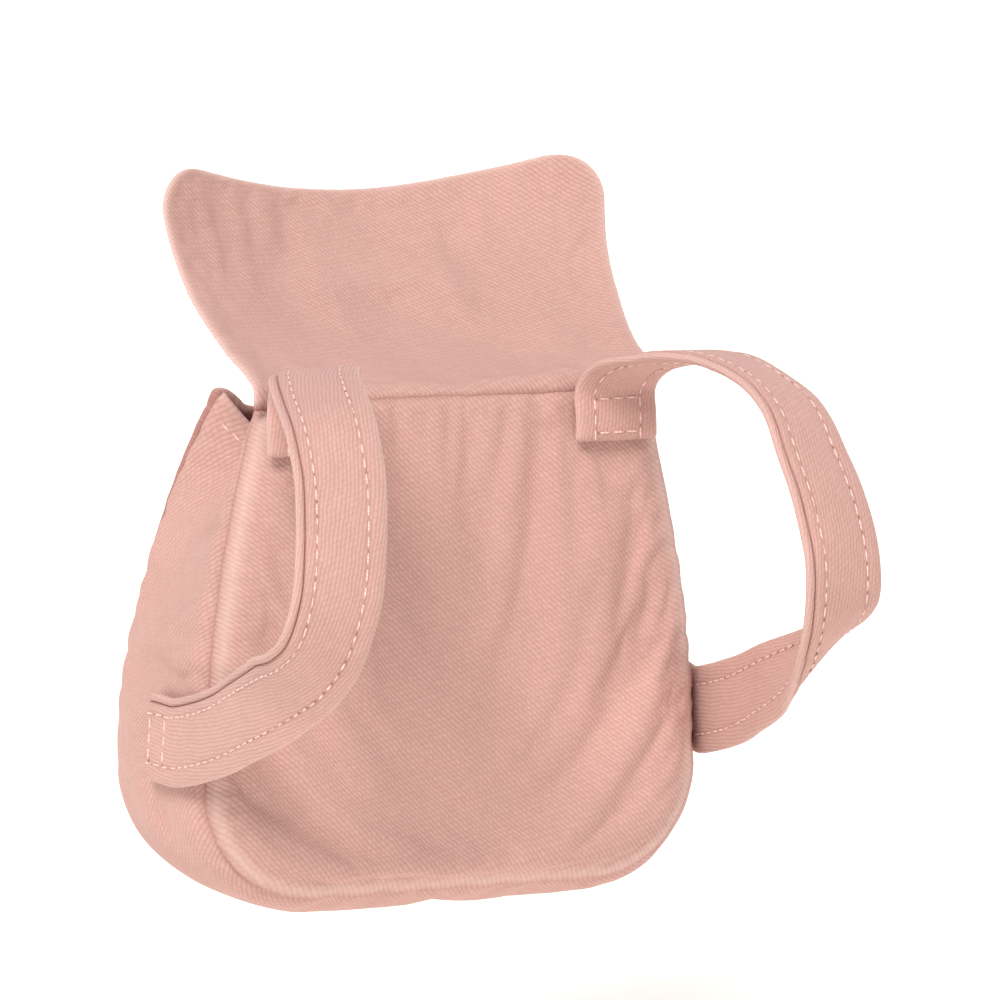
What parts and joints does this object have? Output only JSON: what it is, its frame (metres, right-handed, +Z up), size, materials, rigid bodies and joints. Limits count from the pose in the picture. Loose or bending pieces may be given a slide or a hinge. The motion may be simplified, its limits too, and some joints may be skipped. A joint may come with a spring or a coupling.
{
  "type": "plush toy's backpack",
  "caption": "Small twill backpack for a plush toy, in its worn form: soft domed bag, tucked sides, open standing flap and two shoulder straps.",
  "frame": {"origin": "top middle of the back panel's face that lies on the wearer's back", "axes": "+Z up, -Y towards the wearer and the straps, +Y to the front panel, +X to the wearer's left"},
  "size_m": [0.0848, 0.0852, 0.0972],
  "materials": {
    "pink_twill": "dusty pink cotton twill, matt",
    "touch_tape": "woven tape with a short pile"
  },
  "bodies": {
    "root": {"back_panel": "pink_twill", "gusset": "pink_twill", "front_panel": "pink_twill", "flap": "pink_twill", "strap_left": "pink_twill", "strap_right": "pink_twill", "hook_patch": "touch_tape", "loop_patch": "touch_tape"}
  },
  "joints": []
}
